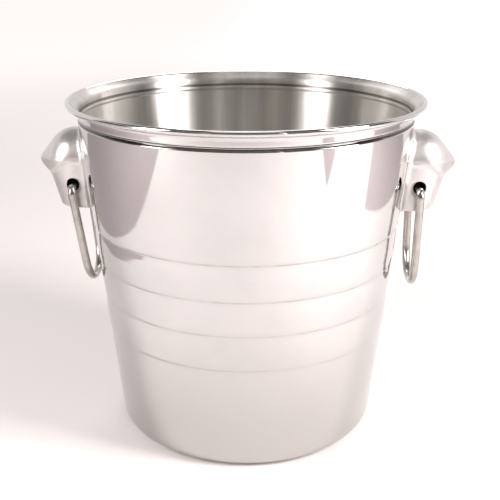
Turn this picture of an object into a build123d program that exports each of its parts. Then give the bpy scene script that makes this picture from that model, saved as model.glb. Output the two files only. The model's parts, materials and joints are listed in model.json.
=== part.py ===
from build123d import *
import os
from math import atan, cos, degrees, radians, sin

# Champagne bucket: a drawn steel bucket, a hollow hooded ear on each side of it, a wire ring
# handle hanging in each ear, and the screws, washers and seals that hold the ears on.
# Millimetres, +Z up. The origin is the middle of the foot, on the table, and the ears are at
# +X (right) and -X (left).

os.makedirs("parts", exist_ok=True)

# ---------------------------------------------------------------- driving dimensions
rim_radius = 110.0
rim_height = 212.0
sheet = 0.9

# The wall is a cone: its line meets the table at foot_line_radius.
foot_line_radius = 83.0
wall_slope = 0.1
base_corner_radius = 8.0
foot_ring_inner_radius = 64.0
base_recess = 1.6

# Four lines round the wall, where it steps in towards the foot.
line_heights = (68.3, 90.8, 112.4, 134.9)
line_step = 0.6
line_jog = 1.05

# The shoulder, groove, neck and flange under the rolled lip.
shoulder_height = 199.8
groove_height = 201.2
groove_radius = 101.7
neck_height = 202.6
neck_radius = 102.7
flange_height = 206.9
lip_wire_radius = 1.6

# The ears. The hood is a dome about a level line that points out from the bucket, and the
# skirt hangs below it with flat sides and an oval nose.
hood_axis_height = 171.6
hood_radius = 20.0
hood_cone_reach = 116.3
hood_nose_reach = 130.9
hood_nose_half = 1.1
hood_shoulder_radius = 17.6
hood_nose_radius = 3.1
brow_wall_reach = 98.0
brow_wall_height = 174.4
brow_nose_reach = 124.0
brow_nose_height = 158.9
skirt_half_width = 19.3
skirt_foot_height = 144.4
skirt_foot_reach = 118.5
skirt_top_height = 171.4
skirt_top_reach = 126.5
skirt_round_start = 103.5
ear_thickness = 1.8
seat_flange_width = 2.2
seat_flange_thickness = 1.2

# The ring handles and the dished holes that they hang in.
ring_wire = 5.0
ring_hole = 8.0
ring_hole_dish = 11.0
ring_hole_dish_angle = 124.0
ring_hole_slack = 0.05
pivot_reach = 106.9
pivot_height = 157.6
ring_top_half_width = 24.0
ring_foot_half_width = 18.2
ring_drop = 64.0
ring_elbow_radius = 4.0
ring_bend_radius = 18.0
ring_end_half_gap = 14.0
ring_end_chamfer = 0.6
left_ring_lean = 6.6

# The fixings: two pan head screws for each ear, put in from inside the bucket.
screw_heights = (151.4, 181.4)
screw_diameter = 4.0
screw_slack = 0.05
screw_length = 12.0
screw_head_diameter = 8.0
screw_head_height = 3.1
screw_head_chamfer = 0.9
screw_point_chamfer = 0.6
screw_cross_width = 1.1
screw_cross_span = 4.4
screw_cross_depth = 1.7
washer_diameter = 9.0
washer_thickness = 0.8
seal_diameter = 10.0
seal_thickness = 1.5
wall_hole_diameter = 4.4
post_diameter = 8.5
post_hole_depth = 11.5

# ---------------------------------------------------------------- worked-out sizes
wall_angle = atan(wall_slope)
sheet_across = sheet / cos(wall_angle)
lip_radius = rim_radius - lip_wire_radius
lip_height = rim_height - lip_wire_radius
hole_height = pivot_height + (ring_hole - ring_wire) / 2 - ring_hole_slack
axis_reach = 80.0


def wall_radius(height):
    """Outside radius of the plain wall above the band lines, and below them."""
    return foot_line_radius + wall_slope * height


def band_points():
    """The stepped lines, from the lowest up. The bands between them taper less than the wall."""
    low = wall_radius(line_heights[0])
    high = wall_radius(line_heights[-1] + line_jog)
    rise = line_heights[-1] - line_heights[0]
    band_slope = (high - low - len(line_heights) * line_step) / rise
    points = []
    for step, height in enumerate(line_heights):
        radius = low + step * line_step + band_slope * (height - line_heights[0])
        points.append((radius, height))
        points.append((radius + line_step, height + line_jog))
    return points


def screw_planes(side):
    """The two screws' planes on one side, 1 for +X or -1 for -X.

    Each screw stands square to the wall: its plane lies on the wall's inside face, facing out.
    """
    planes = []
    for height in screw_heights:
        planes.append(
            Plane(
                origin=(side * (wall_radius(height) - sheet_across), 0, height),
                x_dir=(0, 1, 0),
                z_dir=(side * cos(wall_angle), 0, -sin(wall_angle)),
            )
        )
    return planes


# ---------------------------------------------------------------- the bucket
base_outline = [(0, base_recess), (foot_ring_inner_radius - base_recess, base_recess)]
base_outline += [(foot_ring_inner_radius, 0), (foot_line_radius, 0)]
rim_outline = [(wall_radius(shoulder_height), shoulder_height), (groove_radius, groove_height)]
rim_outline += [(neck_radius, neck_height), (neck_radius + 0.2, flange_height)]
rim_outline += [(lip_radius + 0.2, lip_height + 0.7)]
base_radii = [1.0, 1.6, base_corner_radius]
line_radii = [1.0, 1.6] * len(line_heights)
rim_radii = [1.4, 0.8, 1.5, 3.0]

with BuildPart() as bucket_shell:
    with BuildSketch(Plane.XZ):
        with BuildLine():
            FilletPolyline(
                *base_outline,
                *band_points(),
                *rim_outline,
                radius=base_radii + line_radii + rim_radii,
            )
            offset(amount=sheet, side=Side.LEFT, mode=Mode.ADD)
        make_face()
        with Locations((lip_radius, lip_height)):
            Circle(lip_wire_radius)
    revolve(axis=Axis.Z)
    for plane in screw_planes(1) + screw_planes(-1):
        with BuildSketch(plane):
            Circle(wall_hole_diameter / 2)
        extrude(amount=3 * sheet, both=True, mode=Mode.SUBTRACT)
bucket_shell.part.label = "bucket_shell"
export_step(bucket_shell.part, "parts/bucket_shell.step")


# ---------------------------------------------------------------- plugs that shape other parts
def wall_plug(radial_offset):
    """Everything inside the plain wall's outer face, or inside a face this far outside it."""
    with BuildPart() as plug:
        with BuildSketch(Plane.XZ):
            with BuildLine():
                Polyline(
                    (0, 0),
                    (wall_radius(0) + radial_offset, 0),
                    (wall_radius(rim_height) + radial_offset, rim_height),
                    (0, rim_height),
                    close=True,
                )
            make_face()
        revolve(axis=Axis.Z)
    return plug.part


# ---------------------------------------------------------------- the ears
def hood_section(skin):
    """Half of the hood's section along its level axis, set in by a skin."""
    nose = hood_nose_reach - skin
    FilletPolyline(
        (axis_reach, 0),
        (axis_reach, hood_radius - skin),
        (hood_cone_reach - skin / 2, hood_radius - skin),
        (nose, hood_nose_half - skin / 3),
        (nose, 0),
        radius=[0, hood_shoulder_radius - skin, hood_nose_radius - skin],
    )
    Line((nose, 0), (axis_reach, 0))


def skirt_section(reach, skin):
    """A level section of the skirt: flat sides and an oval nose, set in by a skin."""
    half_width = skirt_half_width - skin
    Polyline(
        (skirt_round_start, half_width),
        (axis_reach, half_width),
        (axis_reach, -half_width),
        (skirt_round_start, -half_width),
    )
    EllipticalCenterArc(
        (skirt_round_start, 0),
        x_radius=reach - skin - skirt_round_start,
        y_radius=half_width,
        start_angle=-90,
        arc_size=180,
    )


def below_brow():
    """The side view of the space that the hood's lower half gives up to the skirt."""
    floor = -hood_radius - 1
    Polyline(
        (axis_reach, brow_wall_height - hood_axis_height),
        (brow_wall_reach, brow_wall_height - hood_axis_height),
        (brow_nose_reach, brow_nose_height - hood_axis_height),
        (hood_nose_reach + 1, brow_nose_height - hood_axis_height),
        (hood_nose_reach + 1, floor),
        (axis_reach, floor),
        close=True,
    )


def ear_form(skin):
    """The hood above the brow and the skirt below it, both set in by a skin."""
    with BuildPart() as hood:
        with BuildSketch(Plane.XZ):
            with BuildLine():
                hood_section(skin)
            make_face()
        revolve(axis=Axis.X)
        with BuildSketch(Plane.XZ):
            with BuildLine():
                below_brow()
            make_face()
        extrude(amount=hood_radius + 1, both=True, mode=Mode.SUBTRACT)
    with BuildPart() as form:
        with BuildSketch(Plane.XY.offset(skirt_foot_height + skin)):
            with BuildLine():
                skirt_section(skirt_foot_reach, skin)
            make_face()
        with BuildSketch(Plane.XY.offset(skirt_top_height)):
            with BuildLine():
                skirt_section(skirt_top_reach, skin)
            make_face()
        loft()
        with Locations((0, 0, hood_axis_height)):
            add(hood.part)
    return form.part


# The thin flange round the ear's mouth, which lies on the wall.
with BuildPart() as seat_flange:
    with BuildSketch(Plane.YZ):
        with Locations((0, hood_axis_height)):
            Circle(hood_radius + seat_flange_width)
        with Locations((0, hood_axis_height / 2)):
            Rectangle(2 * (skirt_half_width + seat_flange_width), hood_axis_height)
        with Locations((0, skirt_foot_height / 2)):
            Rectangle(4 * hood_radius, skirt_foot_height, mode=Mode.SUBTRACT)
    extrude(amount=rim_radius)
    add(wall_plug(seat_flange_thickness), mode=Mode.INTERSECT)

# The hollow inside an ear, with a post left standing round each screw.
with BuildPart() as ear_hollow:
    add(ear_form(ear_thickness))
    for plane in screw_planes(1):
        with BuildSketch(plane):
            Circle(post_diameter / 2)
        extrude(amount=rim_radius - axis_reach, mode=Mode.SUBTRACT)

with BuildPart() as right_ear:
    add(ear_form(0))
    add(ear_hollow.part, mode=Mode.SUBTRACT)
    add(seat_flange.part)
    add(wall_plug(0), mode=Mode.SUBTRACT)
    for plane in screw_planes(1):
        with BuildSketch(plane):
            Circle(screw_diameter / 2)
        extrude(amount=post_hole_depth, mode=Mode.SUBTRACT)
    for side in (1, -1):
        side_face = (pivot_reach, side * skirt_half_width, hole_height)
        with Locations(Plane(origin=side_face, z_dir=(0, side, 0))):
            CounterSinkHole(
                ring_hole / 2,
                ring_hole_dish / 2,
                depth=3 * ear_thickness,
                counter_sink_angle=ring_hole_dish_angle,
            )
right_ear.part.label = "right_ear"
export_step(right_ear.part, "parts/right_ear.step")

with BuildPart() as left_ear:
    add(right_ear.part.rotate(Axis.Z, 180))
left_ear.part.label = "left_ear"
export_step(left_ear.part, "parts/left_ear.step")

# ---------------------------------------------------------------- the rings
# One ring, hanging straight down from the line of its two ends, which is at the origin.
with BuildPart() as ring:
    with BuildLine(Plane.YZ) as ring_line:
        FilletPolyline(
            (-ring_end_half_gap, 0),
            (-ring_top_half_width, 0),
            (-ring_foot_half_width, -ring_drop),
            (ring_foot_half_width, -ring_drop),
            (ring_top_half_width, 0),
            (ring_end_half_gap, 0),
            radius=[ring_elbow_radius, ring_bend_radius, ring_bend_radius, ring_elbow_radius],
        )
    with BuildSketch(Plane(origin=ring_line.line @ 0, z_dir=ring_line.line % 0)):
        Circle(ring_wire / 2)
    sweep(path=ring_line.line)
    ring_ends = ring.faces().filter_by(GeomType.PLANE)
    chamfer(ring_ends.edges(), ring_end_chamfer)

with BuildPart() as right_ring:
    with Locations((pivot_reach, 0, pivot_height)):
        add(ring.part)
right_ring.part.label = "right_ring"
export_step(right_ring.part, "parts/right_ring.step")

# The left ring leans in towards the wall.
with BuildPart() as left_ring:
    with Locations(Location((-pivot_reach, 0, pivot_height), (0, -left_ring_lean, 0))):
        add(ring.part)
left_ring.part.label = "left_ring"
export_step(left_ring.part, "parts/left_ring.step")


# ---------------------------------------------------------------- the fixings
def disc(plane, start, thickness, outer, inner):
    """A flat ring, or a disc if inner is 0, square to the screw and this far along it."""
    with BuildSketch(plane.offset(start)) as outline:
        Circle(outer / 2)
        if inner > 0:
            Circle(inner / 2, mode=Mode.SUBTRACT)
    extrude(outline.sketch, amount=thickness)


head_seat = -seal_thickness - washer_thickness
head_top = head_seat - screw_head_height


def screw(plane):
    """A pan head screw with a cross recess, its head inside the bucket."""
    with BuildPart() as one:
        disc(Plane.XY, head_top, screw_head_height, screw_head_diameter, 0)
        chamfer(one.edges().sort_by(Axis.Z)[0], screw_head_chamfer)
        disc(Plane.XY, head_seat, screw_length, screw_diameter - 2 * screw_slack, 0)
        chamfer(one.edges().sort_by(Axis.Z)[-1], screw_point_chamfer)
        with BuildSketch(Plane.XY.offset(head_top)):
            Rectangle(screw_cross_span, screw_cross_width)
            Rectangle(screw_cross_width, screw_cross_span)
        extrude(amount=screw_cross_depth, mode=Mode.SUBTRACT)
    return plane.location * one.part


def make_fixings(side, name):
    """The screws, washers and seals of one ear, written under the ear's name."""
    planes = screw_planes(side)
    with BuildPart() as screws:
        for plane in planes:
            add(screw(plane))
    with BuildPart() as washers:
        for plane in planes:
            disc(plane, head_seat, washer_thickness, washer_diameter, screw_diameter + 0.3)
    with BuildPart() as seals:
        for plane in planes:
            disc(plane, -seal_thickness, seal_thickness + sheet / 3, seal_diameter, screw_diameter)
        add(wall_plug(-sheet_across), mode=Mode.INTERSECT)
    for pieces, kind in ((screws, "screws"), (washers, "washers"), (seals, "seals")):
        pieces.part.label = f"{name}_{kind}"
        export_step(pieces.part, f"parts/{name}_{kind}.step")


make_fixings(1, "right_ear")
make_fixings(-1, "left_ear")
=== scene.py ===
import json
import math

import bpy
import numpy as np
from mathutils import Matrix, Vector


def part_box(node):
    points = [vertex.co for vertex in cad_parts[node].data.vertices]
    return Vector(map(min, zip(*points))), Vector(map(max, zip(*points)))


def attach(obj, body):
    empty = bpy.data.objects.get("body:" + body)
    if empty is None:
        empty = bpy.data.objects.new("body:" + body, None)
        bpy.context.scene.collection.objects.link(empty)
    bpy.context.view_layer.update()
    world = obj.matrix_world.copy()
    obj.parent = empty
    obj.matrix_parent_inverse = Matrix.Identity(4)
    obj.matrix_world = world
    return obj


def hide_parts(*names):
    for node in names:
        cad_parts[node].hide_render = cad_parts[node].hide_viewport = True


# Champagne bucket. The lathe-turned bucket, the two cast ears and the two wire rings are made here
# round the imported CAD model, whose screws, washers and seals are kept and given a material.
# Shapes are worked out in millimetres and written to meshes in metres. +Z up, ears at +X and -X.

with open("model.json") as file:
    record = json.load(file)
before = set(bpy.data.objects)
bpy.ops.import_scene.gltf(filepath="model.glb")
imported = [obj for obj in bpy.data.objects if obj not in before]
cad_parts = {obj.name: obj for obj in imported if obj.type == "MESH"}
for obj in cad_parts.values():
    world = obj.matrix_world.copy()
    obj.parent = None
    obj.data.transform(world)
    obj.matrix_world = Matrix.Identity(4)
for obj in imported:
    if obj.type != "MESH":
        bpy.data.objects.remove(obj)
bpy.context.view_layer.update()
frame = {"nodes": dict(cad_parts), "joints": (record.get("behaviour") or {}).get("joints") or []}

MM = 0.001

# ---------------------------------------------------------------- driving dimensions, millimetres
shell_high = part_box("bucket_shell")[1]
RIM_RADIUS = shell_high.x / MM
RIM_HEIGHT = shell_high.z / MM
SHEET = 0.9
FOOT_LINE_RADIUS = 83.0
WALL_SLOPE = 0.1
WALL_ANGLE = math.atan(WALL_SLOPE)
LINE_HEIGHTS = (68.3, 90.8, 112.4, 134.9)
LINE_STEP = 0.6
LINE_JOG = 1.05
LINE_INNER_ROUND = 1.0
LINE_OUTER_ROUND = 1.6
# Half way up each band its line turns at a corner that stands out this far, before rounding.
BAND_BULGE = 0.52
BAND_BULGE_RADIUS = 150.0
SHOULDER_HEIGHT = 199.8
SHOULDER_ROUND = 1.0
GROOVE_HEIGHT = 201.2
GROOVE_RADIUS = 101.7
GROOVE_ROUND = 0.8
NECK_HEIGHT = 202.6
NECK_RADIUS = 102.7
NECK_ROUND = 1.5
NECK_TAPER = 0.2
FLANGE_HEIGHT = 206.9
FLANGE_ROUND = 3.0
BASE_CORNER_RADIUS = 8.0
FOOT_RING_INNER_RADIUS = 64.0
FOOT_RING_ROUND = 1.6
BASE_RECESS = 1.6
BASE_RECESS_ROUND = 1.0
BASE_MIDDLE_RADIUS = 0.4
LIP_WIRE_RADIUS = 1.6
LIP_RADIUS = RIM_RADIUS - LIP_WIRE_RADIUS
LIP_HEIGHT = RIM_HEIGHT - LIP_WIRE_RADIUS
LIP_END_ASIDE = 0.2
LIP_END_RISE = 0.7
LIP_POINTS = 33
LATHE_SEGMENTS = 360

HOOD_AXIS_HEIGHT = 171.6
HOOD_RADIUS = 20.0
HOOD_CONE_REACH = 116.3
HOOD_NOSE_REACH = 130.9
HOOD_NOSE_HALF = 1.1
HOOD_BLEND = 7.4
NOSE_BLEND = 1.6
BROW_HEIGHT = 173.6
BROW_DROP = 8.8
BROW_START = 108.5
BROW_END = 124.0
BROW_BLEND = 3.0
SKIRT_HALF_WIDTH = 19.3
SKIRT_FOOT_HEIGHT = 144.4
SKIRT_FOOT_REACH = 118.5
SKIRT_TOP_HEIGHT = 171.4
SKIRT_TOP_REACH = 126.5
SKIRT_ROUND_START = 103.5
SKIRT_OVERLAP = 2
SKIRT_TOP_BLEND = 1.0
SKIRT_FOOT_BLEND = 0.8
BODY_BLEND = 2.4
EAR_THICKNESS = 1.8
HOLLOW_START = SKIRT_FOOT_HEIGHT + 1.0
EAR_EDGE_BLEND = 0.3
FLARE_WIDTH = 2.3
FLARE_RUN = 2.9
FLARE_EDGE = 0.7
EAR_SINK = 0.2
EAR_GRID = 0.5
EAR_BOX_LOW = (94.0, -23.5, 142.9)
EAR_BOX_HIGH = (132.8, 23.5, 193.9)

RING_WIRE = 5.0
RING_SIDES = 32
RING_ARC_STEP = math.radians(5)
RING_HOLE = 8.0
RING_HOLE_SLACK = 0.05
RING_HOLE_BLEND = 0.5
RING_HOLE_DISH = 11.0
RING_HOLE_DISH_ANGLE = math.radians(124)
RING_TOP_HALF_WIDTH = 24.0
RING_FOOT_HALF_WIDTH = 18.2
RING_DROP = 64.0
RING_ELBOW_RADIUS = 4.0
RING_BEND_RADIUS = 18.0
RING_END_HALF_GAP = 14.0
RING_END_ROUND = 0.7
LEFT_RING_LEAN = math.radians(6.6)

SCREW_HEIGHTS = (151.4, 181.4)
SCREW_HOLE = 4.0
POST_DIAMETER = 8.5
POST_BLEND = 0.8
POST_HOLE_DEPTH = 11.5

pivots = {joint["child"]: Vector(joint["pos_m"]) / MM for joint in frame["joints"]}
PIVOT_REACH = pivots["right_ring"].x
HOLE_HEIGHT = pivots["right_ring"].z + (RING_HOLE - RING_WIRE) / 2 - RING_HOLE_SLACK


def wall_radius(height):
    """Outside radius of the plain wall."""
    return FOOT_LINE_RADIUS + WALL_SLOPE * height


# ---------------------------------------------------------------- lines and meshes
def rounded_line(corners, arc_step=math.radians(7.5), guard=0.4):
    """Points of a line through corners (a, b, radius), each corner rounded with its radius.

    A straight stretch has an extra point close to each end, which keeps its shading straight.
    """
    points = [Vector(corners[0][:2])]
    for before, here, after in zip(corners, corners[1:], corners[2:]):
        corner = Vector(here[:2])
        back = (Vector(before[:2]) - corner).normalized()
        ahead = (Vector(after[:2]) - corner).normalized()
        half_turn = (math.pi - back.angle(ahead)) / 2
        centre = corner + (back + ahead).normalized() * here[2] / math.cos(half_turn)
        middle = (corner - centre).normalized() * here[2]
        side = 1 if middle.cross(back) < 0 else -1
        steps = max(3, math.ceil(2 * half_turn / arc_step))
        for step in range(steps + 1):
            turn = side * half_turn * (2 * step / steps - 1)
            points.append(centre + Matrix.Rotation(turn, 2) @ middle)
    points.append(Vector(corners[-1][:2]))
    guarded = [points[0]]
    for start, end in zip(points, points[1:]):
        run = end - start
        if run.length > 3 * guard:
            guarded.append(start + run.normalized() * guard)
            guarded.append(end - run.normalized() * guard)
        guarded.append(end)
    return guarded


def offset_line(points, distance):
    """The line moved to its left by a distance."""
    moved = []
    for index, point in enumerate(points):
        along = points[min(index + 1, len(points) - 1)] - points[max(index - 1, 0)]
        along.normalize()
        moved.append(point + Vector((-along.y, along.x)) * distance)
    return moved


def make_object(name, vertices, faces, body, replaced):
    """A smooth-shaded mesh object from vertices in millimetres, riding on a body."""
    mesh = bpy.data.meshes.new(name)
    mesh.from_pydata([tuple(float(c) * MM for c in v) for v in vertices], [], faces)
    mesh.polygons.foreach_set("use_smooth", [True] * len(mesh.polygons))
    mesh.update()
    made = bpy.data.objects.new(name, mesh)
    bpy.context.scene.collection.objects.link(made)
    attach(made, body)
    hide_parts(replaced)
    return made


def lathe(profile, segments):
    """Vertices and faces of a profile (radius, height) turned about Z, closed at both ends."""
    vertices = []
    faces = []
    for radius, height in profile:
        for segment in range(segments):
            angle = math.tau * segment / segments
            vertices.append((radius * math.cos(angle), radius * math.sin(angle), height))
    for row in range(len(profile) - 1):
        for segment in range(segments):
            ahead = (segment + 1) % segments
            low, high = row * segments, (row + 1) * segments
            faces.append((low + segment, low + ahead, high + ahead, high + segment))
    faces.append(tuple(reversed(range(segments))))
    last = (len(profile) - 1) * segments
    faces.append(tuple(range(last, last + segments)))
    return vertices, faces


def tube(path, radius, sides, end_round):
    """Vertices and faces of a tube along a path in the YZ plane, with rounded ends."""
    almost_quarter_turn = 1.5
    turns = np.linspace(almost_quarter_turn, 0, 5)
    ends = [(math.cos(t) * end_round, math.sin(t) * end_round) for t in turns]
    stations = []
    first = (path[1] - path[0]).normalized()
    last = (path[-1] - path[-2]).normalized()
    for inset, rise in ends:
        stations.append((path[0] + first * (end_round - rise), first, radius - end_round + inset))
    for before, here, after in zip(path, path[1:], path[2:]):
        stations.append((here, (after - before).normalized(), radius))
    for inset, rise in reversed(ends):
        stations.append((path[-1] - last * (end_round - rise), last, radius - end_round + inset))
    vertices = []
    faces = []
    for centre, along, around in stations:
        across = Vector((-along.y, along.x))
        for side in range(sides):
            angle = math.tau * side / sides
            point = centre + across * around * math.cos(angle)
            vertices.append((around * math.sin(angle), point.x, point.y))
    for row in range(len(stations) - 1):
        for side in range(sides):
            ahead = (side + 1) % sides
            low, high = row * sides, (row + 1) * sides
            faces.append((low + side, high + side, high + ahead, low + ahead))
    faces.append(tuple(range(sides)))
    start = (len(stations) - 1) * sides
    faces.append(tuple(reversed(range(start, start + sides))))
    return vertices, faces


# ---------------------------------------------------------------- the bucket
def band_corners():
    """The four stepped lines, from the lowest up, and the slight bulge of each band between."""
    low = wall_radius(LINE_HEIGHTS[0])
    high = wall_radius(LINE_HEIGHTS[-1] + LINE_JOG)
    rise = LINE_HEIGHTS[-1] - LINE_HEIGHTS[0]
    band_slope = (high - low - len(LINE_HEIGHTS) * LINE_STEP) / rise
    corners = []
    for step, height in enumerate(LINE_HEIGHTS):
        radius = low + step * LINE_STEP + band_slope * (height - LINE_HEIGHTS[0])
        if corners:
            below = corners[-1]
            middle = ((below[0] + radius) / 2 + BAND_BULGE, (below[1] + height) / 2)
            corners.append((*middle, BAND_BULGE_RADIUS))
        corners.append((radius, height, LINE_INNER_ROUND))
        corners.append((radius + LINE_STEP, height + LINE_JOG, LINE_OUTER_ROUND))
    return corners


def lip_points(outer_end, inner_end):
    """The rolled lip, from where the flange's outer face meets it round to the inner face."""
    centre = Vector((LIP_RADIUS, LIP_HEIGHT))
    start = (outer_end - centre).to_tuple()
    end = (inner_end - centre).to_tuple()
    start_angle = math.atan2(start[1], start[0])
    end_angle = math.atan2(end[1], end[0])
    if start_angle > 0:
        start_angle -= math.tau
    points = []
    for angle in np.linspace(start_angle, end_angle, LIP_POINTS):
        points.append(centre + Vector((math.cos(angle), math.sin(angle))) * LIP_WIRE_RADIUS)
    return points


def cut_at_lip(points):
    """The line up to where it meets the rolled lip."""
    centre = Vector((LIP_RADIUS, LIP_HEIGHT))
    kept = [p for p in points if (p - centre).length > LIP_WIRE_RADIUS]
    start = kept[-1]
    along = (points[-1] - points[-2]).normalized()
    reach = (centre - start).dot(along)
    aside = (centre - start - along * reach).length
    kept.append(start + along * (reach - math.sqrt(LIP_WIRE_RADIUS**2 - aside**2)))
    return kept


def make_bucket():
    """The whole drawn sheet. Its faces have material slot 0 outside and slot 1 inside."""
    outline = [(BASE_MIDDLE_RADIUS, BASE_RECESS, 0)]
    outline.append((FOOT_RING_INNER_RADIUS - BASE_RECESS, BASE_RECESS, BASE_RECESS_ROUND))
    outline.append((FOOT_RING_INNER_RADIUS, 0, FOOT_RING_ROUND))
    outline.append((FOOT_LINE_RADIUS, 0, BASE_CORNER_RADIUS))
    outline += band_corners()
    outline.append((wall_radius(SHOULDER_HEIGHT), SHOULDER_HEIGHT, SHOULDER_ROUND))
    outline.append((GROOVE_RADIUS, GROOVE_HEIGHT, GROOVE_ROUND))
    outline.append((NECK_RADIUS, NECK_HEIGHT, NECK_ROUND))
    outline.append((NECK_RADIUS + NECK_TAPER, FLANGE_HEIGHT, FLANGE_ROUND))
    outline.append((LIP_RADIUS + LIP_END_ASIDE, LIP_HEIGHT + LIP_END_RISE, 0))
    outer = rounded_line(outline)
    inner = cut_at_lip(offset_line(outer, SHEET))
    outer = cut_at_lip(outer)
    lip = lip_points(outer[-1], inner[-1])
    profile = outer + lip[1:-1] + list(reversed(inner))
    vertices, faces = lathe(profile, LATHE_SEGMENTS)
    bucket = make_object("bucket_body", vertices, faces, "bucket", "bucket_shell")
    inside_from = (len(profile) - len(inner) - 1) * LATHE_SEGMENTS
    inside = [0] * len(faces)
    inside[inside_from:] = [1] * (len(faces) - inside_from)
    cap_under_base = (len(profile) - 1) * LATHE_SEGMENTS
    inside[cap_under_base] = 0
    bucket.data.polygons.foreach_set("material_index", inside)
    return bucket


# ---------------------------------------------------------------- the ears, as a distance field
def smooth_min(a, b, blend):
    """The lesser of two distances, rounded off where they come within a blend of each other."""
    share = np.clip(0.5 + 0.5 * (b - a) / blend, 0, 1)
    return b * (1 - share) + a * share - blend * share * (1 - share)


def smooth_max(a, b, blend):
    """The greater of two distances, rounded off in the same way."""
    return -smooth_min(-a, -b, blend)


def smooth_step(low, high, value):
    """0 below low, 1 above high, and a smooth rise between."""
    share = np.clip((value - low) / (high - low), 0, 1)
    return share * share * (3 - 2 * share)


def hood_field(x, y, z):
    """The dome about the ear's level axis, above the brow and drawn in to a blunt nose."""
    across = np.hypot(y, z - HOOD_AXIS_HEIGHT)
    run = HOOD_NOSE_REACH - HOOD_CONE_REACH
    fall = HOOD_RADIUS - HOOD_NOSE_HALF
    slant = math.hypot(run, fall)
    cone = ((x - HOOD_CONE_REACH) * fall + (across - HOOD_RADIUS) * run) / slant
    dome = smooth_max(across - HOOD_RADIUS, cone, HOOD_BLEND)
    dome = smooth_max(dome, x - HOOD_NOSE_REACH, NOSE_BLEND)
    brow = BROW_HEIGHT - BROW_DROP * smooth_step(BROW_START, BROW_END, x)
    return smooth_max(dome, brow - z, BROW_BLEND)


def skirt_field(x, y, z):
    """The flat-sided skirt, whose oval nose draws in towards the foot."""
    share = (z - SKIRT_FOOT_HEIGHT) / (SKIRT_TOP_HEIGHT - SKIRT_FOOT_HEIGHT)
    reach = SKIRT_FOOT_REACH + share * (SKIRT_TOP_REACH - SKIRT_FOOT_REACH) - SKIRT_ROUND_START
    ahead = np.maximum(x - SKIRT_ROUND_START, 0)
    scaled = np.hypot(ahead / reach, y / SKIRT_HALF_WIDTH)
    slope = np.hypot(ahead / reach**2, y / SKIRT_HALF_WIDTH**2)
    nose = scaled * (scaled - 1) / np.maximum(slope, 1e-6)
    nose = np.where(slope > 1e-6, nose, -SKIRT_HALF_WIDTH)
    return smooth_max(nose, z - SKIRT_TOP_HEIGHT - SKIRT_OVERLAP, SKIRT_TOP_BLEND)


def ear_body_field(x, y, z):
    """The hood and the skirt as one solid, with no hollow or holes."""
    return smooth_min(hood_field(x, y, z), skirt_field(x, y, z), BODY_BLEND)


def wall_field(x, y, z):
    """Distance outside the bucket's plain wall."""
    return (np.hypot(x, y) - wall_radius(z)) * math.cos(WALL_ANGLE)


def screw_axis_fields(x, y, z):
    """Distance from each screw's axis, and distance along it from the wall's inside face."""
    for height in SCREW_HEIGHTS:
        along = (math.cos(WALL_ANGLE), -math.sin(WALL_ANGLE))
        start = wall_radius(height) - SHEET / math.cos(WALL_ANGLE)
        depth = (x - start) * along[0] + (z - height) * along[1]
        off_axis = (x - start) * along[1] - (z - height) * along[0]
        yield np.hypot(off_axis, y), depth


def ear_field(x, y, z):
    """The whole hollow ear: negative in the metal, zero on its surface."""
    wall = wall_field(x, y, z)
    body = ear_body_field(x, y, z)
    rise = 1 - np.clip((wall - FLARE_EDGE) / FLARE_RUN, 0, 1)
    flare = FLARE_WIDTH * (1 - np.sqrt(np.maximum(1 - rise**2, 0)))
    outside = smooth_max(body - flare, SKIRT_FOOT_HEIGHT - z, SKIRT_FOOT_BLEND)
    outside = np.maximum(outside, -wall - EAR_SINK)
    hollow = np.maximum(body + EAR_THICKNESS, SKIRT_FOOT_HEIGHT + EAR_THICKNESS - z)
    screw_hole = np.full_like(x, np.inf)
    for radius, depth in screw_axis_fields(x, y, z):
        hollow = smooth_max(hollow, POST_DIAMETER / 2 - radius, POST_BLEND)
        bore = np.maximum(radius - SCREW_HOLE / 2, depth - POST_HOLE_DEPTH)
        screw_hole = np.minimum(screw_hole, bore)
    metal = smooth_max(outside, -hollow, EAR_EDGE_BLEND)
    hole_distance = np.hypot(x - PIVOT_REACH, z - HOLE_HEIGHT)
    half_dish = RING_HOLE_DISH_ANGLE / 2
    dish = (hole_distance - RING_HOLE_DISH / 2) * math.cos(half_dish)
    dish -= (np.abs(y) - SKIRT_HALF_WIDTH) * math.sin(half_dish)
    opening = np.minimum(hole_distance - RING_HOLE / 2, dish)
    metal = smooth_max(metal, -opening, RING_HOLE_BLEND)
    return np.maximum(metal, -screw_hole)


def field_slope(field, points):
    """The field's gradient at each point."""
    small = 0.01
    slopes = []
    for axis in np.eye(3) * small:
        slopes.append((field(*(points + axis).T) - field(*(points - axis).T)) / (2 * small))
    return np.array(slopes).T


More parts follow.
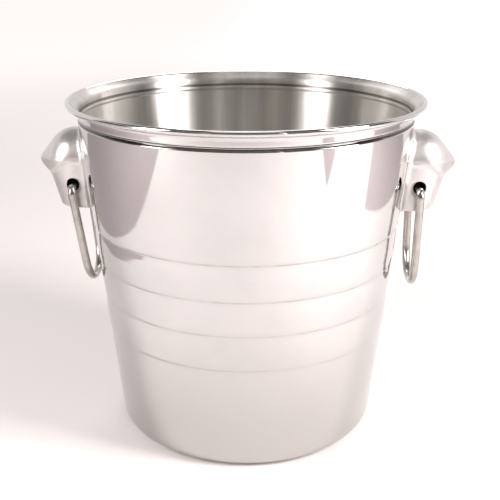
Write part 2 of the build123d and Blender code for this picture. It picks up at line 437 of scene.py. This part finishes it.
def mesh_of_field(field, low, high, step):
    """Vertices and quads of the surface where a field is zero, between two corners.

    Each grid cell that the surface cuts gets one vertex, at the middle of the points where the
    cell's edges cross the surface, and each crossed edge gets a quad. The vertices then move on
    to the surface itself.
    """
    counts = np.ceil((high - low) / step).astype(int) + 1
    axes = [low[i] + step * np.arange(counts[i]) for i in range(3)]
    grid = field(*np.meshgrid(*axes, indexing="ij"))
    total = np.zeros((grid.size, 3))
    hits = np.zeros(grid.size)
    quads = []
    for axis in range(3):
        ahead = np.roll([1, 0, 0], axis)
        aside, over = np.roll([0, 1, 0], axis), np.roll([0, 0, 1], axis)
        a = np.delete(grid, -1, axis)
        b = np.delete(grid, 0, axis)
        cells = np.argwhere((a < 0) != (b < 0))
        start, end = a[tuple(cells.T)], b[tuple(cells.T)]
        points = low + step * (cells + (start / (start - end))[:, None] * ahead)
        corners = []
        for offset in (aside + over, over, 0 * over, aside):
            numbers = np.ravel_multi_index((cells - offset).T, grid.shape)
            np.add.at(total, numbers, points)
            np.add.at(hits, numbers, 1)
            corners.append(numbers)
        corners = np.array(corners).T
        corners[start > 0] = corners[start > 0][:, ::-1]
        quads.append(corners)
    quads = np.concatenate(quads)
    used = np.flatnonzero(hits)
    vertices = total[used] / hits[used][:, None]
    number = np.zeros(grid.size, int)
    number[used] = np.arange(len(used))
    passes, least_slope = 4, 0.1
    for _ in range(passes):
        value = field(*vertices.T)
        slope = field_slope(field, vertices)
        move = slope * (value / np.maximum((slope**2).sum(1), least_slope))[:, None]
        length = np.linalg.norm(move, axis=1)[:, None]
        vertices -= move * np.minimum(1, 0.5 * step / np.maximum(length, 1e-9))
    return vertices, number[quads]


def make_ears():
    """Both ears. The left one is the right one turned half round about Z.

    Their faces have material slot 0 outside and slot 1 in the hollow.
    """
    low, high = np.array(EAR_BOX_LOW), np.array(EAR_BOX_HIGH)
    vertices, quads = mesh_of_field(ear_field, low, high, EAR_GRID)
    centres = vertices[quads].mean(1)
    deep = ear_body_field(*centres.T) < -EAR_THICKNESS / 2
    raw = deep & (centres[:, 2] > HOLLOW_START)
    ears = []
    for name, side in (("right_ear", 1), ("left_ear", -1)):
        turned = vertices * np.array([side, side, 1])
        ear = make_object(f"{name}_cast", turned, quads.tolist(), "bucket", name)
        ear.data.polygons.foreach_set("material_index", raw.astype(int))
        ears.append(ear)
    return ears


# ---------------------------------------------------------------- the rings
def make_rings():
    """Both rings, each hanging from its own pivot. The left one leans in towards the wall."""
    corners = [
        (-RING_END_HALF_GAP, 0, 0),
        (-RING_TOP_HALF_WIDTH, 0, RING_ELBOW_RADIUS),
        (-RING_FOOT_HALF_WIDTH, -RING_DROP, RING_BEND_RADIUS),
        (RING_FOOT_HALF_WIDTH, -RING_DROP, RING_BEND_RADIUS),
        (RING_TOP_HALF_WIDTH, 0, RING_ELBOW_RADIUS),
        (RING_END_HALF_GAP, 0, 0),
    ]
    path = rounded_line(corners, RING_ARC_STEP)
    vertices, faces = tube(path, RING_WIRE / 2, RING_SIDES, RING_END_ROUND)
    rings = []
    for name, lean in (("right_ring", 0), ("left_ring", -LEFT_RING_LEAN)):
        place = Matrix.Translation(pivots[name]) @ Matrix.Rotation(lean, 4, "Y")
        placed = [place @ Vector(v) for v in vertices]
        rings.append(make_object(f"{name}_wire", placed, faces, name, name))
    return rings


# ---------------------------------------------------------------- materials
class Nodes:
    """A short way to add and link the nodes of one material or world."""

    def __init__(self, owner):
        owner.use_nodes = True
        self.tree = owner.node_tree
        self.shader = self.tree.nodes.get("Principled BSDF")

    def add(self, kind, inputs, output=0, **settings):
        """Adds a node and returns one of its outputs. An input is a value or another output."""
        node = self.tree.nodes.new(kind)
        for name, value in settings.items():
            setattr(node, name, value)
        self.fill(node, inputs)
        return node.outputs[output]

    def fill(self, node, inputs):
        """Sets or links each of a node's named inputs."""
        for name, value in inputs.items():
            if isinstance(value, bpy.types.NodeSocket):
                self.tree.links.new(value, node.inputs[name])
            else:
                node.inputs[name].default_value = value

    def math(self, operation, a, b=0.0):
        """Any of the math node's operations, on one or two values."""
        return self.add("ShaderNodeMath", {0: a, 1: b}, operation=operation)

    def noise(self, vector, scale, detail=3.0, roughness=0.5):
        """A cloudy pattern, about 0.5 on average. A larger scale makes it finer."""
        inputs = {"Vector": vector, "Scale": scale, "Detail": detail, "Roughness": roughness}
        return self.add("ShaderNodeTexNoise", inputs)

    def ramp(self, value, low, high, out_low, out_high):
        """A smooth change from out_low to out_high as the value goes from low to high."""
        inputs = {"Value": value, "From Min": low, "From Max": high}
        inputs.update({"To Min": out_low, "To Max": out_high})
        return self.add("ShaderNodeMapRange", inputs, interpolation_type="SMOOTHSTEP")

    def position(self):
        """Where the shaded point is on its object, in metres."""
        return self.add("ShaderNodeTexCoord", {}, output="Object")

    def scaled(self, vector, scale):
        """Coordinates scaled along each axis, so a pattern on them is stretched."""
        return self.add("ShaderNodeMapping", {"Vector": vector, "Scale": scale})

    def turned(self, around, along):
        """Coordinates that run round the Z axis: (angle, radius, height), each with its scale."""
        x, y, z = self.parts(self.position())
        angle = self.math("ARCTAN2", y, x)
        squares = self.math("ADD", self.math("MULTIPLY", x, x), self.math("MULTIPLY", y, y))
        radius = self.math("SQRT", squares)
        inputs = {
            "X": self.math("MULTIPLY", angle, around),
            "Y": self.math("MULTIPLY", radius, along),
            "Z": self.math("MULTIPLY", z, along),
        }
        return self.add("ShaderNodeCombineXYZ", inputs)

    def parts(self, vector):
        """A vector's x, y and z."""
        split = self.tree.nodes.new("ShaderNodeSeparateXYZ")
        self.tree.links.new(vector, split.inputs[0])
        return split.outputs

    def height(self):
        """The shaded point's height in metres."""
        return self.parts(self.position())[2]

    def near_height(self, middle, inner, outer, most):
        """The most within the inner distance of a height, falling to 0 at the outer one."""
        off = self.math("SUBTRACT", self.height(), middle)
        return self.ramp(self.math("ABSOLUTE", off), inner, outer, most, 0.0)

    def near_lines(self, inner, outer):
        """1 within the inner distance of any of the four wall lines, 0 past the outer one."""
        total = 0.0
        for line in LINE_HEIGHTS:
            share = self.near_height((line + LINE_JOG / 2) * MM, inner, outer, 1.0)
            total = self.math("ADD", share, total)
        return total

    def mix(self, share, low, high):
        """A colour between low and high."""
        node = self.tree.nodes.new("ShaderNodeMix")
        node.data_type = "RGBA"
        for name, value in (("Factor", share), ("A", low), ("B", high)):
            socket = next(s for s in node.inputs if s.name == name and s.enabled)
            if isinstance(value, bpy.types.NodeSocket):
                self.tree.links.new(value, socket)
            else:
                socket.default_value = value
        return next(s for s in node.outputs if s.enabled)

    def bump(self, height, strength, distance, normal=None):
        """A normal tilted by a height pattern, on top of another normal if one is given."""
        inputs = {"Height": height, "Strength": strength, "Distance": distance}
        if normal is not None:
            inputs["Normal"] = normal
        return self.add("ShaderNodeBump", inputs)

    def finish(self, inputs):
        """Sets the inputs of the material's main shader."""
        self.fill(self.shader, inputs)


STEEL_LIGHT = (0.69, 0.68, 0.675, 1)
STEEL_DARK = (0.65, 0.64, 0.635, 1)
SATIN_LIGHT = (0.76, 0.74, 0.71, 1)
SATIN_DARK = (0.66, 0.64, 0.61, 1)
CAST_LIGHT = (0.69, 0.67, 0.66, 1)
CAST_DARK = (0.61, 0.59, 0.58, 1)
WIRE_LIGHT = (0.50, 0.475, 0.45, 1)
WIRE_DARK = (0.41, 0.39, 0.365, 1)
FOOT_SHADE = (0.53, 0.52, 0.51, 1)
LINE_SHADE = (0.42, 0.40, 0.39, 1)
GROOVE_SHADE = (0.06, 0.055, 0.05, 1)
HOLLOW_LIGHT = (0.12, 0.115, 0.11, 1)
HOLLOW_DARK = (0.05, 0.05, 0.05, 1)
TURNED_LIGHT = (0.68, 0.67, 0.66, 1)
TURNED_DARK = (0.55, 0.54, 0.53, 1)
RUBBER_LIGHT = (0.04, 0.04, 0.04, 1)
RUBBER_DARK = (0.015, 0.015, 0.015, 1)

MIRROR_ROUGHNESS = (0.045, 0.085)
LOW_WALL_ROUGHNESS = 0.10
SATIN_ROUGHNESS = (0.33, 0.37)
CAST_ROUGHNESS = (0.33, 0.44)
HOLLOW_ROUGHNESS = 0.6
WIRE_ROUGHNESS = (0.17, 0.27)
TURNED_ROUGHNESS = (0.24, 0.40)
RUBBER_ROUGHNESS = (0.55, 0.75)
CAST_METALLIC = 0.86
HOLLOW_METALLIC = 0.7

# Between these heights, in metres, the wall grows rougher and darker towards the foot; the darkening is
# painted shade, for the shaded floor beside the foot that the wall reflects.
SOFT_WALL = (0.060, 0.072)
FOOT_SHADE_HEIGHTS = (0.015, 0.115)

# Painted shade lines, for the shadow in the groove outside and in the crease inside: the height of
# each one's middle, half its full-strength width, half its whole width, and its strength.
GROOVE_SHADE_LINE = ((SHOULDER_HEIGHT + 0.8) * MM, 0.0004, 0.0011, 0.92)
CREASE_SHADE_LINE = ((NECK_HEIGHT + 0.6) * MM, 0.0005, 0.0013, 0.75)

# How deep, in metres, a bump pattern is at full strength: fine lines, grain, ripples and waves.
FINE_DEPTH = 0.0002
GRAIN_DEPTH = 0.0004
RIPPLE_DEPTH = 0.002
WAVE_DEPTH = 0.01


def mirror_steel():
    """The bucket's outside: a mirror polish with faint smears, softer towards the foot, with painted
    shade towards the foot, along its lines and in the groove under the rim.
    """
    material = bpy.data.materials.new("mirror_steel")
    nodes = Nodes(material)
    place = nodes.position()
    smears = nodes.noise(place, scale=22.0, detail=4.0, roughness=0.6)
    lines = nodes.noise(nodes.turned(around=1.6, along=900.0), scale=1.0, detail=2.0)
    low_wall = nodes.ramp(nodes.height(), *SOFT_WALL, LOW_WALL_ROUGHNESS, 0.0)
    roughness = nodes.ramp(smears, 0.45, 0.75, *MIRROR_ROUGHNESS)
    roughness = nodes.math("ADD", roughness, low_wall)
    waves = nodes.noise(place, scale=9.0, detail=1.0)
    normal = nodes.bump(waves, 0.06, WAVE_DEPTH)
    normal = nodes.bump(lines, 0.02, FINE_DEPTH, normal)
    colour = nodes.mix(nodes.ramp(smears, 0.4, 0.7, 0.0, 1.0), STEEL_LIGHT, STEEL_DARK)
    # Painted shade towards the foot.
    colour = nodes.mix(nodes.ramp(nodes.height(), *FOOT_SHADE_HEIGHTS, 1.0, 0.0), colour, FOOT_SHADE)
    # Painted shade along the four wall lines: a faint wide band, and a narrow darker line in each crease,
    # broken up into patches.
    line_shade_wide = nodes.math("MULTIPLY", nodes.near_lines(0.0003, 0.0040), 0.10)
    colour = nodes.mix(line_shade_wide, colour, LINE_SHADE)
    patches = nodes.noise(nodes.turned(around=9.0, along=60.0), scale=1.0, detail=3.0)
    patches = nodes.ramp(patches, 0.35, 0.65, 0.2, 0.65)
    line_shade_narrow = nodes.math("MULTIPLY", nodes.near_lines(0.00025, 0.0007), patches)
    colour = nodes.mix(line_shade_narrow, colour, LINE_SHADE)
    # Painted shade in the groove under the rim.
    colour = nodes.mix(nodes.near_height(*GROOVE_SHADE_LINE), colour, GROOVE_SHADE)
    nodes.finish({"Base Color": colour, "Metallic": 1.0, "Roughness": roughness, "Normal": normal})
    return material


def satin_steel():
    """The bucket's inside: finely turned, so light spreads up and down the wall."""
    material = bpy.data.materials.new("satin_steel")
    nodes = Nodes(material)
    place = nodes.position()
    turned = nodes.turned(around=2.5, along=1600.0)
    lines = nodes.noise(turned, scale=1.0, detail=3.0, roughness=0.7)
    turned = nodes.turned(around=16.0, along=3.0)
    streaks = nodes.noise(turned, scale=1.0, detail=4.0, roughness=0.6)
    stains = nodes.noise(place, scale=30.0, detail=4.0)
    roughness = nodes.ramp(stains, 0.35, 0.7, *SATIN_ROUGHNESS)
    tangent = nodes.add("ShaderNodeTangent", {}, direction_type="RADIAL", axis="Z")
    normal = nodes.bump(lines, 0.04, FINE_DEPTH)
    colour = nodes.mix(nodes.ramp(streaks, 0.3, 0.7, 0.0, 1.0), SATIN_LIGHT, SATIN_DARK)
    # Painted shade in the crease inside, just under the rim.
    colour = nodes.mix(nodes.near_height(*CREASE_SHADE_LINE), colour, GROOVE_SHADE)
    nodes.finish(
        {
            "Base Color": colour,
            "Metallic": 1.0,
            "Roughness": roughness,
            "Anisotropic": 1.0,
            "Anisotropic Rotation": 0.25,
            "Normal": normal,
            "Tangent": tangent,
        }
    )
    return material


def polished_cast():
    """The ears' outside: a buffed, slightly worn casting with soft ripples and fine scratches."""
    material = bpy.data.materials.new("polished_cast")
    nodes = Nodes(material)
    place = nodes.position()
    ripples = nodes.noise(place, scale=90.0, detail=2.0)
    stretched = nodes.scaled(place, (4.0, 1.0, 14.0))
    scratches = nodes.noise(stretched, scale=160.0, detail=3.0, roughness=0.7)
    roughness = nodes.ramp(scratches, 0.35, 0.75, *CAST_ROUGHNESS)
    normal = nodes.bump(ripples, 0.12, RIPPLE_DEPTH)
    normal = nodes.bump(scratches, 0.05, FINE_DEPTH, normal)
    colour = nodes.mix(nodes.ramp(ripples, 0.35, 0.7, 0.0, 1.0), CAST_LIGHT, CAST_DARK)
    surface = {"Base Color": colour, "Metallic": CAST_METALLIC}
    nodes.finish({**surface, "Roughness": roughness, "Normal": normal})
    return material


def raw_cast():
    """The ears' hollow: dark, as it came from the mould."""
    material = bpy.data.materials.new("raw_cast")
    nodes = Nodes(material)
    grain = nodes.noise(nodes.position(), scale=900.0, detail=3.0, roughness=0.7)
    colour = nodes.mix(grain, HOLLOW_DARK, HOLLOW_LIGHT)
    normal = nodes.bump(grain, 0.5, GRAIN_DEPTH)
    surface = {"Base Color": colour, "Metallic": HOLLOW_METALLIC}
    nodes.finish({**surface, "Roughness": HOLLOW_ROUGHNESS, "Normal": normal})
    return material


def polished_wire():
    """The rings: drawn wire, polished along its length."""
    material = bpy.data.materials.new("polished_wire")
    nodes = Nodes(material)
    place = nodes.position()
    stretched = nodes.scaled(place, (9.0, 9.0, 0.6))
    drawn = nodes.noise(stretched, scale=260.0, detail=3.0, roughness=0.6)
    wear = nodes.noise(place, scale=120.0, detail=3.0)
    roughness = nodes.ramp(wear, 0.35, 0.7, *WIRE_ROUGHNESS)
    normal = nodes.bump(drawn, 0.10, FINE_DEPTH)
    colour = nodes.mix(nodes.ramp(wear, 0.35, 0.7, 0.0, 1.0), WIRE_LIGHT, WIRE_DARK)
    nodes.finish({"Base Color": colour, "Metallic": 1.0, "Roughness": roughness, "Normal": normal})
    return material


def turned_steel():
    """The screws and washers: plain turned steel."""
    material = bpy.data.materials.new("turned_steel")
    nodes = Nodes(material)
    place = nodes.position()
    stretched = nodes.scaled(place, (1.0, 8.0, 8.0))
    grain = nodes.noise(stretched, scale=500.0, detail=3.0, roughness=0.6)
    wear = nodes.noise(place, scale=300.0, detail=2.0)
    roughness = nodes.ramp(wear, 0.3, 0.7, *TURNED_ROUGHNESS)
    colour = nodes.mix(wear, TURNED_DARK, TURNED_LIGHT)
    normal = nodes.bump(grain, 0.15, FINE_DEPTH)
    nodes.finish({"Base Color": colour, "Metallic": 1.0, "Roughness": roughness, "Normal": normal})
    return material


def black_rubber():
    """The sealing washers."""
    material = bpy.data.materials.new("black_rubber")
    nodes = Nodes(material)
    grain = nodes.noise(nodes.position(), scale=1500.0, detail=3.0, roughness=0.7)
    colour = nodes.mix(grain, RUBBER_DARK, RUBBER_LIGHT)
    roughness = nodes.ramp(grain, 0.3, 0.7, *RUBBER_ROUGHNESS)
    normal = nodes.bump(grain, 0.3, FINE_DEPTH)
    nodes.finish({"Base Color": colour, "Roughness": roughness, "Normal": normal})
    return material


def cover(thing, *materials):
    """Fills the thing's material slots in order. Its faces keep their slot numbers."""
    slots = thing.data.materials
    for number, material in enumerate(materials):
        if number < len(slots):
            slots[number] = material
        else:
            slots.append(material)


bucket = make_bucket()
cover(bucket, mirror_steel(), satin_steel())
cast, hollow = polished_cast(), raw_cast()
for ear in make_ears():
    cover(ear, cast, hollow)
wire = polished_wire()
for ring in make_rings():
    cover(ring, wire)
screw_steel, rubber = turned_steel(), black_rubber()
for ear_name in ("left_ear", "right_ear"):
    cover(frame["nodes"][f"{ear_name}_screws"], screw_steel)
    cover(frame["nodes"][f"{ear_name}_washers"], screw_steel)
    cover(frame["nodes"][f"{ear_name}_seals"], rubber)


# ---------------------------------------------------------------- floor, light and camera, metres
PAPER = (1.0, 0.955, 0.945)
PAPER_LIGHT = (0.88, 0.845, 0.835, 1)
PAPER_DARK = (0.86, 0.825, 0.815, 1)
WARM = (1.0, 0.84, 0.66)
MATT = {"Roughness": 0.9, "Specular IOR Level": 0.1}
WALL_LIGHT = 0.88
CEILING_LIGHT = 0.13
# The wall's light fades to the ceiling's where the upward part of a direction is in this range.
CEILING_EDGE = (0.50, 0.76)
CARD_GLOW = 0.012
CARD_LOW = 0.24
CARD_HIGH = 0.72
CARD_DISTANCE = 0.92
CARD_STEPS = 24
FLOOR_REACH = 8.0
FLOOR_DROP = 0.0003
# Grey cards of painted shade on the floor, seen only in reflections: their lift, tint, grain and
# outlines.
SHADE_CARD_LIFT = 0.0003
SHADE_CARD_TINT = (1.0, 0.90, 0.91)
SHADE_CARD_GRAIN = (0.93, 1.05)
SHADE_CARD_LEFT = [(-0.46, -0.40), (-0.375, -0.10), (-0.335, 0.45), (-1.3, 0.45), (-1.3, -0.40)]
SHADE_CARD_RIGHT_FRONT = [(0.375, -0.283), (0.423, -0.367), (0.906, -0.787), (1.0, -0.65), (0.475, -0.297)]
SHADE_CARD_RIGHT_BACK = [(0.43, -0.03), (1.3, 0.04), (1.3, 0.45), (0.42, 0.45)]
LIGHT_TARGET = Vector((0, 0, 0.1))


def polar(azimuth, elevation, distance):
    """A point seen from the middle of the foot. Azimuth 0 is straight in front, at -Y."""
    a, e = math.radians(azimuth), math.radians(elevation)
    flat = distance * math.cos(e)
    return Vector((math.sin(a) * flat, -math.cos(a) * flat, distance * math.sin(e)))


def stage_mesh(name, vertices, faces, material, seen=False):
    """A flat-shaded mesh of the stage, hidden from the camera unless it is to be seen."""
    mesh = bpy.data.meshes.new(name)
    mesh.from_pydata(vertices, [], faces)
    mesh.materials.append(material)
    made = bpy.data.objects.new(name, mesh)
    bpy.context.scene.collection.objects.link(made)
    made.visible_camera = seen
    return made


def plain_floor():
    """A pale paper floor with a faint glow behind, most on the right, in front and far away."""
    material = bpy.data.materials.new("paper")
    nodes = Nodes(material)
    place = nodes.position()
    grain = nodes.noise(place, scale=400.0, detail=3.0)
    colour = nodes.mix(grain, PAPER_DARK, PAPER_LIGHT)
    x, y, _ = nodes.parts(place)
    behind = nodes.ramp(y, -0.1, 0.9, 0.0, 0.30)
    side = nodes.ramp(x, -0.35, 0.35, 0.45, 1.2)
    before = nodes.ramp(y, -0.55, -0.2, 0.08, 0.0)
    away = nodes.add("ShaderNodeVectorMath", {0: place}, output="Value", operation="LENGTH")
    far = nodes.ramp(away, 0.6, 2.0, 0.0, 0.48)
    strength = nodes.math("ADD", nodes.math("MULTIPLY", behind, side), nodes.math("ADD", before, far))
    shine = {"Emission Color": (*PAPER, 1), "Emission Strength": strength}
    nodes.finish({"Base Color": colour, **MATT, **shine})
    corners = []
    for i, j in ((-1, -1), (1, -1), (1, 1), (-1, 1)):
        corners.append((i * FLOOR_REACH, j * FLOOR_REACH, -FLOOR_DROP))
    stage_mesh("floor", corners, [(0, 1, 2, 3)], material, seen=True)


def only_in_reflections(thing):
    """Hides a stage mesh from the floor's light, so that only shiny things show it."""
    thing.visible_diffuse = False
    thing.visible_shadow = False


def shade_card(name, corners, shade):
    """A grey card on the floor, seen only in shiny things: painted shade standing for shadow on the floor
    round the paper. Its shade is its lightness.
    """
    material = bpy.data.materials.new(name)
    nodes = Nodes(material)
    grain = nodes.noise(nodes.position(), scale=60.0, detail=3.0)
    darker, lighter = SHADE_CARD_GRAIN
    low = [shade * darker * tint for tint in SHADE_CARD_TINT]
    high = [shade * lighter * tint for tint in SHADE_CARD_TINT]
    colour = nodes.mix(grain, (*low, 1), (*high, 1))
    nodes.finish({"Base Color": colour, **MATT})
    lifted = [(x, y, SHADE_CARD_LIFT) for x, y in corners]
    only_in_reflections(stage_mesh(name, lifted, [tuple(range(len(lifted)))], material))


def glow(name, strength, colour=PAPER):
    """A material that only gives off light."""
    material = bpy.data.materials.new(name)
    material.use_nodes = True
    tree = material.node_tree
    tree.nodes.clear()
    output = tree.nodes.new("ShaderNodeOutputMaterial")
    emission = tree.nodes.new("ShaderNodeEmission")
    emission.inputs["Color"].default_value = (*colour, 1)
    emission.inputs["Strength"].default_value = strength
    tree.links.new(emission.outputs[0], output.inputs["Surface"])
    return material


def panel(name, azimuth, elevation, distance, size, strength, colour=PAPER):
    """A flat soft light that faces the bucket. Its size is its width and height."""
    width, height = size
    centre = polar(azimuth, elevation, distance)
    facing = (LIGHT_TARGET - centre).normalized()
    across = facing.cross(Vector((0, 0, 1)))
    is_overhead = across.length < 0.01
    if is_overhead:
        across = Vector((1, 0, 0))
    across.normalize()
    up = across.cross(facing)
    corners = []
    for i, j in ((-1, -1), (1, -1), (1, 1), (-1, 1)):
        corners.append(centre + across * i * width / 2 + up * j * height / 2)
    return stage_mesh(name, corners, [(0, 1, 2, 3)], glow(name, strength, colour))


def dark_card(name, start, end):
    """A curved dark card between two azimuths round the bucket, which stands for a dark room."""
    vertices = []
    faces = []
    for step in range(CARD_STEPS + 1):
        azimuth = start + (end - start) * step / CARD_STEPS
        foot = polar(azimuth, 0, CARD_DISTANCE)
        vertices.append((foot.x, foot.y, CARD_LOW))
        vertices.append((foot.x, foot.y, CARD_HIGH))
    for step in range(CARD_STEPS):
        faces.append((2 * step, 2 * step + 2, 2 * step + 3, 2 * step + 1))
    only_in_reflections(stage_mesh(name, vertices, faces, glow(name, CARD_GLOW)))


def tent_light():
    """White walls all round, low down, under a dark ceiling."""
    world = bpy.data.worlds.new("tent")
    bpy.context.scene.world = world
    nodes = Nodes(world)
    direction = nodes.add("ShaderNodeTexCoord", {}, output="Generated")
    upward = nodes.parts(direction)[2]
    strength = nodes.ramp(upward, *CEILING_EDGE, WALL_LIGHT, CEILING_LIGHT)
    background = nodes.tree.nodes["Background"]
    nodes.fill(background, {"Color": (*PAPER, 1), "Strength": strength})


plain_floor()
# Grey cards painted in as shade on the floor beside the bucket, seen only in reflections.
shade_card("floor_shade_left", SHADE_CARD_LEFT, 0.52)
shade_card("floor_shade_right_front", SHADE_CARD_RIGHT_FRONT, 0.45)
shade_card("floor_shade_right_back", SHADE_CARD_RIGHT_BACK, 0.56)
dark_card("room_front", start=-46, end=98)
dark_card("room_left", start=-98, end=-70)
panel("softbox_left", azimuth=-58, elevation=34, distance=0.95, size=(0.22, 0.60), strength=12.5)
panel("back_light", azimuth=180, elevation=42, distance=1.4, size=(0.5, 0.35), strength=6.0)
panel("softbox_right", azimuth=66.5, elevation=36, distance=0.95, size=(0.29, 0.60), strength=19.0)
overhead = panel("overhead", azimuth=0, elevation=90, distance=1.2, size=(0.40, 0.40), strength=2.0)
overhead.visible_diffuse = False
# A narrow bright strip and a dim warm one stand between the two softboxes.
panel("light_gap", azimuth=24, elevation=34, distance=0.90, size=(0.025, 0.55), strength=3.0)
panel("warm_wall", azimuth=-20, elevation=34, distance=0.90, size=(0.08, 0.55), strength=0.5, colour=WARM)
tent_light()

CAMERA_AZIMUTH = 2.2
CAMERA_REACH = 0.5305
CAMERA_HEIGHT = 0.2994
CAMERA_PITCH = 19.56
CAMERA_LENS = 61.9
CAMERA_SENSOR = 36.0
CAMERA_SHIFT = 0.0076
camera_data = bpy.data.cameras.new("camera")
camera_data.lens = CAMERA_LENS
camera_data.sensor_width = CAMERA_SENSOR
camera_data.shift_x = CAMERA_SHIFT
camera = bpy.data.objects.new("camera", camera_data)
bpy.context.scene.collection.objects.link(camera)
around = math.radians(CAMERA_AZIMUTH)
camera.location = (
    CAMERA_REACH * math.sin(around),
    -CAMERA_REACH * math.cos(around),
    CAMERA_HEIGHT,
)
camera.rotation_euler = (math.radians(90 - CAMERA_PITCH), 0, around)
bpy.context.scene.camera = camera
bpy.context.scene.view_settings.view_transform = "Standard"
